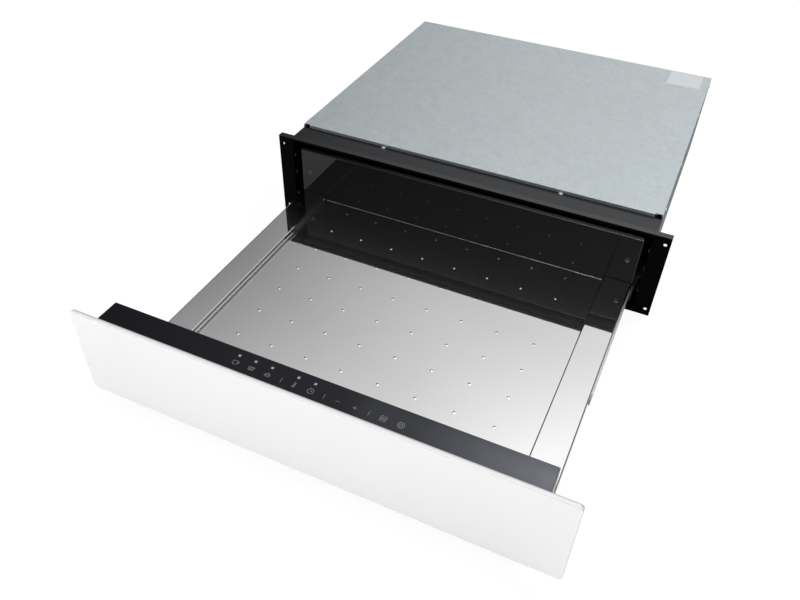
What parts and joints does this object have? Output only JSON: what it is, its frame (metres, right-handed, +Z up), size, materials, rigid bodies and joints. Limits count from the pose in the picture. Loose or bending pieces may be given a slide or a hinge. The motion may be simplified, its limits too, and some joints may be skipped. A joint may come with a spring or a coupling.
{
  "type": "warming drawer",
  "caption": "Built-in warming drawer, pulled open: steel tray on telescopic slides with a white glass front and touch control strip, in a vented insulated housing with a black frame.",
  "frame": {"origin": "centre of the housing's flat base, on the face that rests on the niche floor", "axes": "+Z up, +Y from the front frame to the back of the housing, so the drawer opens towards -Y; X across the front"},
  "size_m": [0.599, 0.9748, 0.14],
  "materials": {
    "black_enamel": "gloss black enamel",
    "cavity_black": "satin black enamel",
    "wall_black": "high gloss black",
    "galvanised": "hot dip galvanised, fine spangle",
    "stainless": "bright polished stainless steel",
    "zinc_steel": "bright zinc plated",
    "screw_steel": "zinc plated",
    "screw_black": "black passivated zinc",
    "white_glass": "back painted white, polished edges",
    "black_glass": "back painted black, gloss",
    "retainer_brass": "rolled strip",
    "glass_wool": "matte fibre",
    "heater_sheath": "heat darkened",
    "foil": "rolled foil",
    "motor_grey": "satin grey",
    "board_green": "solder mask",
    "black_plastic": "moulded",
    "white_plastic": "moulded",
    "lamp_clear": "clear light pipe",
    "rubber_black": "matte"
  },
  "bodies": {
    "housing": {"front_frame": "black_enamel", "cavity_top": "cavity_black", "cavity_floor": "cavity_black", "cavity_left_wall": "cavity_black", "cavity_right_wall": "cavity_black", "cavity_rear_wall": "cavity_black", "top_cover": "galvanised", "left_side_panel": "galvanised", "right_side_panel": "galvanised", "rear_panel": "galvanised", "base_plate": "galvanised", "frame_screws": "screw_black", "cover_screws": "screw_steel", "insulation_blanket": "glass_wool", "left_outer_rail": "zinc_steel", "right_outer_rail": "zinc_steel", "rail_brackets": "zinc_steel", "fan_bracket": "zinc_steel", "fan_motor": "motor_grey", "ring_heater": "heater_sheath", "safety_thermostat": "motor_grey", "power_board": "board_green", "terminal_block": "white_plastic", "cable_gland": "black_plastic", "latch_body": "black_plastic", "latch_spring": "screw_steel"},
    "drawer": {"front_glass": "white_glass", "front_box": "stainless", "control_glass": "black_glass", "control_carrier": "black_plastic", "control_board": "board_green", "indicator_lamps": "lamp_clear", "key_contacts": "retainer_brass", "panel_bumpers": "rubber_black", "drawer_floor": "stainless", "left_ledge": "stainless", "right_ledge": "stainless", "bottom_pan": "galvanised", "rear_wall": "wall_black", "rear_wall_brackets": "zinc_steel", "rear_wall_screws": "screw_black", "floor_heater": "foil", "insulation_pad": "glass_wool", "floor_sensor": "retainer_brass", "left_inner_rail": "zinc_steel", "right_inner_rail": "zinc_steel", "latch_striker": "zinc_steel"},
    "mid_rails": {"left_mid_rail": "zinc_steel", "right_mid_rail": "zinc_steel"},
    "outer_cages": {"left_outer_cage": "retainer_brass", "right_outer_cage": "retainer_brass"},
    "inner_cages": {"left_inner_cage": "retainer_brass", "right_inner_cage": "retainer_brass"},
    "fan": {"fan_impeller": "foil"},
    "latch_pin": {"latch_plunger": "white_plastic"}
  },
  "joints": [
    {"name": "drawer_slide", "type": "slide", "parent": "housing", "child": "drawer", "axis": [0, 1, 0], "range_m": [0, 0.4433]},
    {"name": "mid_rail_slide", "type": "slide", "parent": "housing", "child": "mid_rails", "axis": [0, 1, 0], "range_m": [0, 0.22165]},
    {"name": "outer_cage_slide", "type": "slide", "parent": "housing", "child": "outer_cages", "axis": [0, 1, 0], "range_m": [0, 0.11083]},
    {"name": "inner_cage_slide", "type": "slide", "parent": "housing", "child": "inner_cages", "axis": [0, 1, 0], "range_m": [0, 0.33248]},
    {"name": "fan_spin", "type": "hinge", "parent": "housing", "child": "fan", "pos_m": [0, 0.22325, 0.076], "axis": [0, 1, 0], "continuous": true},
    {"name": "latch_push", "type": "slide", "parent": "housing", "child": "latch_pin", "axis": [0, 1, 0], "range_m": [0, 0.004], "stiffness_N_per_m": 400, "deforming": ["latch_spring"]}
  ],
  "couplings": [
    {"joint": "mid_rail_slide", "follows": "drawer_slide", "ratio": 0.5},
    {"joint": "outer_cage_slide", "follows": "drawer_slide", "ratio": 0.25},
    {"joint": "inner_cage_slide", "follows": "drawer_slide", "ratio": 0.75}
  ]
}
